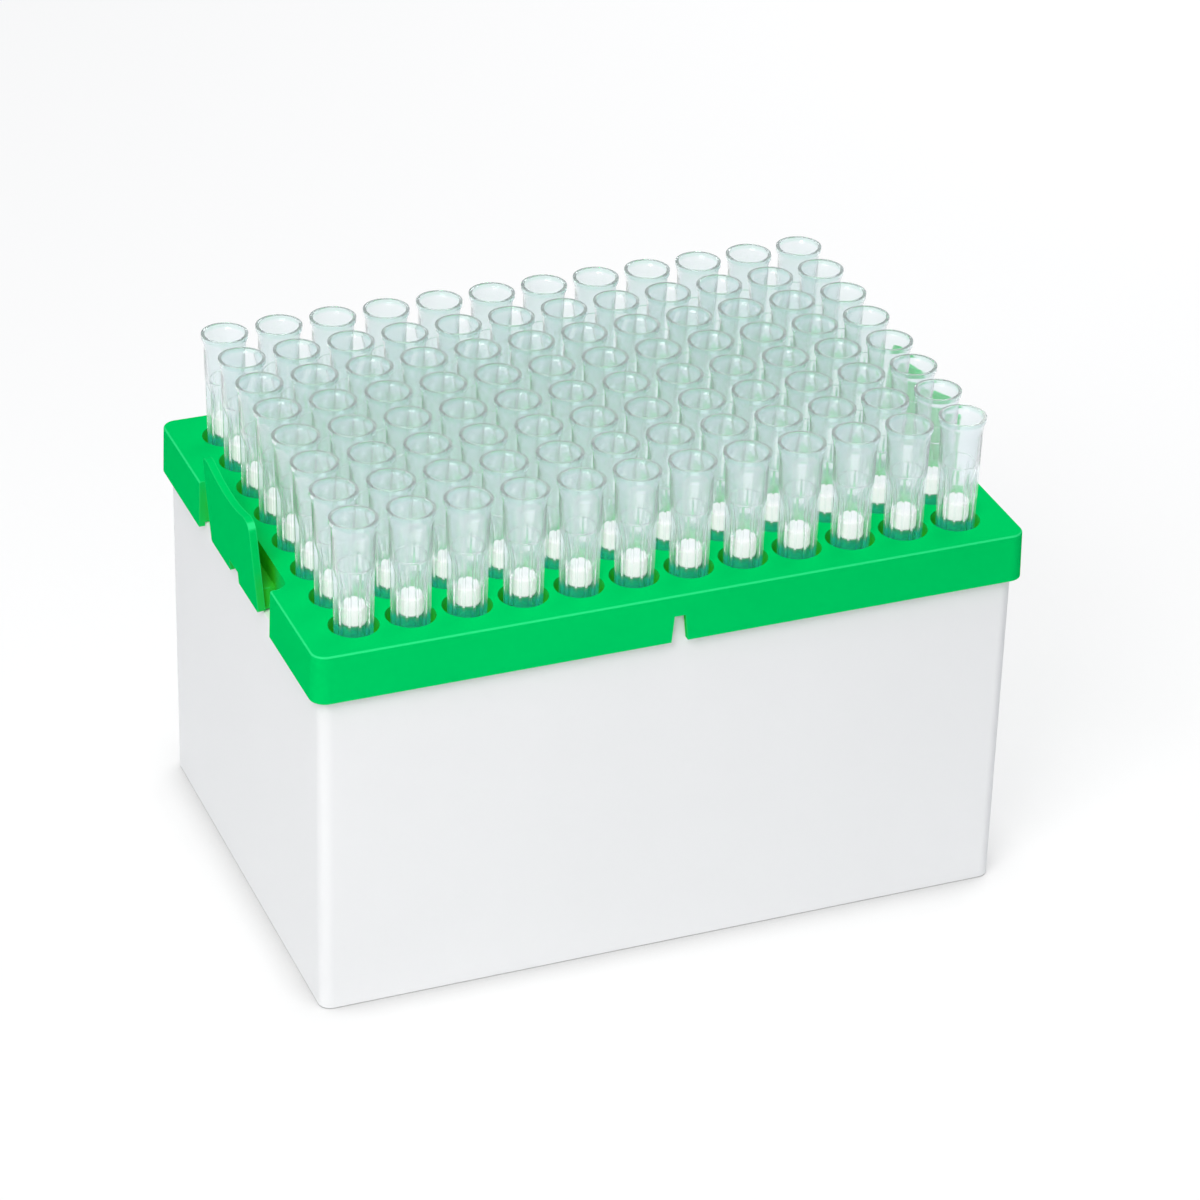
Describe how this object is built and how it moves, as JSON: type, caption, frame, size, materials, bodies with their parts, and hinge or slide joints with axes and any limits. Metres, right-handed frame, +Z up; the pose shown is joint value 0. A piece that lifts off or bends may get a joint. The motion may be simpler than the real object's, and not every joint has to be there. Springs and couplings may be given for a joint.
{
  "type": "box of pipette tips",
  "caption": "Oblong white tub carrying a green skirted rack with sprung end latches and a full grid of clear ribbed filter tips standing in its sockets.",
  "frame": {"origin": "on the surface it stands on, under the centre of the tub's footprint", "axes": "+Z up; +X along the rows of twelve tips (the long sides); +Y along the columns of eight tips; the latch tabs are on the -X and +X ends"},
  "size_m": [0.119, 0.079, 0.0823],
  "materials": {
    "white_tub": "satin moulded polypropylene",
    "green_rack": "satin moulded polypropylene",
    "clear_tip": "clear moulded polypropylene",
    "filter_plug": "porous polyethylene"
  },
  "bodies": {
    "root": {"base_box": "white_tub", "tip_rack": "green_rack", "tips_column_01": "clear_tip", "tips_column_02": "clear_tip", "tips_column_03": "clear_tip", "tips_column_04": "clear_tip", "tips_column_05": "clear_tip", "tips_column_06": "clear_tip", "tips_column_07": "clear_tip", "tips_column_08": "clear_tip", "tips_column_09": "clear_tip", "tips_column_10": "clear_tip", "tips_column_11": "clear_tip", "tips_column_12": "clear_tip", "filters_column_01": "filter_plug", "filters_column_02": "filter_plug", "filters_column_03": "filter_plug", "filters_column_04": "filter_plug", "filters_column_05": "filter_plug", "filters_column_06": "filter_plug", "filters_column_07": "filter_plug", "filters_column_08": "filter_plug", "filters_column_09": "filter_plug", "filters_column_10": "filter_plug", "filters_column_11": "filter_plug", "filters_column_12": "filter_plug"}
  },
  "joints": []
}
